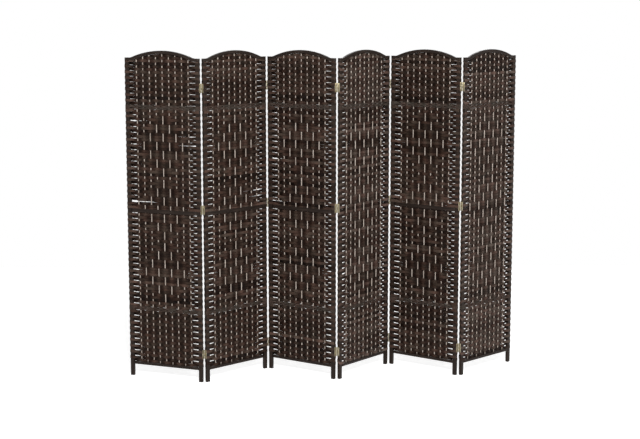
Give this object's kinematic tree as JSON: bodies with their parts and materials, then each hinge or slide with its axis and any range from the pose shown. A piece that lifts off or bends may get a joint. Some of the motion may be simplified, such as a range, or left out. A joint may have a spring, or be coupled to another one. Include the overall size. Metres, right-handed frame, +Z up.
{
  "type": "folding screen",
  "caption": "Free-standing accordion folding screen: arched wooden frames filled with woven fibre ribbon over pale stakes, joined by butt hinges to divide a room.",
  "frame": {"origin": "on the floor, in the middle of the screen's bounding box", "axes": "+X along the screen to the right as it is looked at, +Y away from the viewer, +Z up"},
  "size_m": [2.1584, 0.4498, 1.8],
  "materials": {
    "frame_wood": "dark brown stain, satin",
    "woven_fibre": "dark brown twisted paper fibre, dull sheen",
    "stake_wood": "natural, unfinished",
    "hinge_brass": "pale brass plate, satin"
  },
  "bodies": {
    "panel_1": {"panel_1_stile_left": "frame_wood", "panel_1_stile_right": "frame_wood", "panel_1_top_rail": "frame_wood", "panel_1_bottom_rail": "frame_wood", "panel_1_weave": "woven_fibre", "hinge_1_top_pin_leaf": "hinge_brass", "hinge_1_middle_pin_leaf": "hinge_brass", "hinge_1_bottom_pin_leaf": "hinge_brass"},
    "panel_2": {"panel_2_stile_left": "frame_wood", "panel_2_stile_right": "frame_wood", "panel_2_top_rail": "frame_wood", "panel_2_bottom_rail": "frame_wood", "panel_2_weave": "woven_fibre", "hinge_1_top_bored_leaf": "hinge_brass", "hinge_1_middle_bored_leaf": "hinge_brass", "hinge_1_bottom_bored_leaf": "hinge_brass", "hinge_2_top_pin_leaf": "hinge_brass", "hinge_2_middle_pin_leaf": "hinge_brass", "hinge_2_bottom_pin_leaf": "hinge_brass"},
    "panel_3": {"panel_3_stile_left": "frame_wood", "panel_3_stile_right": "frame_wood", "panel_3_top_rail": "frame_wood", "panel_3_bottom_rail": "frame_wood", "panel_3_weave": "woven_fibre", "hinge_2_top_bored_leaf": "hinge_brass", "hinge_2_middle_bored_leaf": "hinge_brass", "hinge_2_bottom_bored_leaf": "hinge_brass", "hinge_3_top_pin_leaf": "hinge_brass", "hinge_3_middle_pin_leaf": "hinge_brass", "hinge_3_bottom_pin_leaf": "hinge_brass"},
    "panel_4": {"panel_4_stile_left": "frame_wood", "panel_4_stile_right": "frame_wood", "panel_4_top_rail": "frame_wood", "panel_4_bottom_rail": "frame_wood", "panel_4_weave": "woven_fibre", "hinge_3_top_bored_leaf": "hinge_brass", "hinge_3_middle_bored_leaf": "hinge_brass", "hinge_3_bottom_bored_leaf": "hinge_brass", "hinge_4_top_pin_leaf": "hinge_brass", "hinge_4_middle_pin_leaf": "hinge_brass", "hinge_4_bottom_pin_leaf": "hinge_brass"},
    "panel_5": {"panel_5_stile_left": "frame_wood", "panel_5_stile_right": "frame_wood", "panel_5_top_rail": "frame_wood", "panel_5_bottom_rail": "frame_wood", "panel_5_weave": "woven_fibre", "hinge_4_top_bored_leaf": "hinge_brass", "hinge_4_middle_bored_leaf": "hinge_brass", "hinge_4_bottom_bored_leaf": "hinge_brass", "hinge_5_top_pin_leaf": "hinge_brass", "hinge_5_middle_pin_leaf": "hinge_brass", "hinge_5_bottom_pin_leaf": "hinge_brass"},
    "panel_6": {"panel_6_stile_left": "frame_wood", "panel_6_stile_right": "frame_wood", "panel_6_top_rail": "frame_wood", "panel_6_bottom_rail": "frame_wood", "panel_6_weave": "woven_fibre", "hinge_5_top_bored_leaf": "hinge_brass", "hinge_5_middle_bored_leaf": "hinge_brass", "hinge_5_bottom_bored_leaf": "hinge_brass"}
  },
  "joints": [
    {"name": "fold_1", "type": "hinge", "parent": "panel_1", "child": "panel_2", "pos_m": [-0.65937, -0.20825, 0.95], "axis": [0, 0, -1], "range_deg": [-114.2, 65.8]},
    {"name": "fold_2", "type": "hinge", "parent": "panel_2", "child": "panel_3", "pos_m": [-0.31536, 0.08272, 0.95], "axis": [0, 0, 1], "range_deg": [-101.7, 78.3]},
    {"name": "fold_3", "type": "hinge", "parent": "panel_3", "child": "panel_4", "pos_m": [0.06538, -0.15821, 0.95], "axis": [0, 0, -1], "range_deg": [-95, 85]},
    {"name": "fold_4", "type": "hinge", "parent": "panel_4", "child": "panel_5", "pos_m": [0.3731, 0.17091, 0.95], "axis": [0, 0, 1], "range_deg": [-92.9, 87.1]},
    {"name": "fold_5", "type": "hinge", "parent": "panel_5", "child": "panel_6", "pos_m": [0.74476, -0.0838, 0.95], "axis": [0, 0, -1], "range_deg": [-98.6, 81.4]}
  ]
}
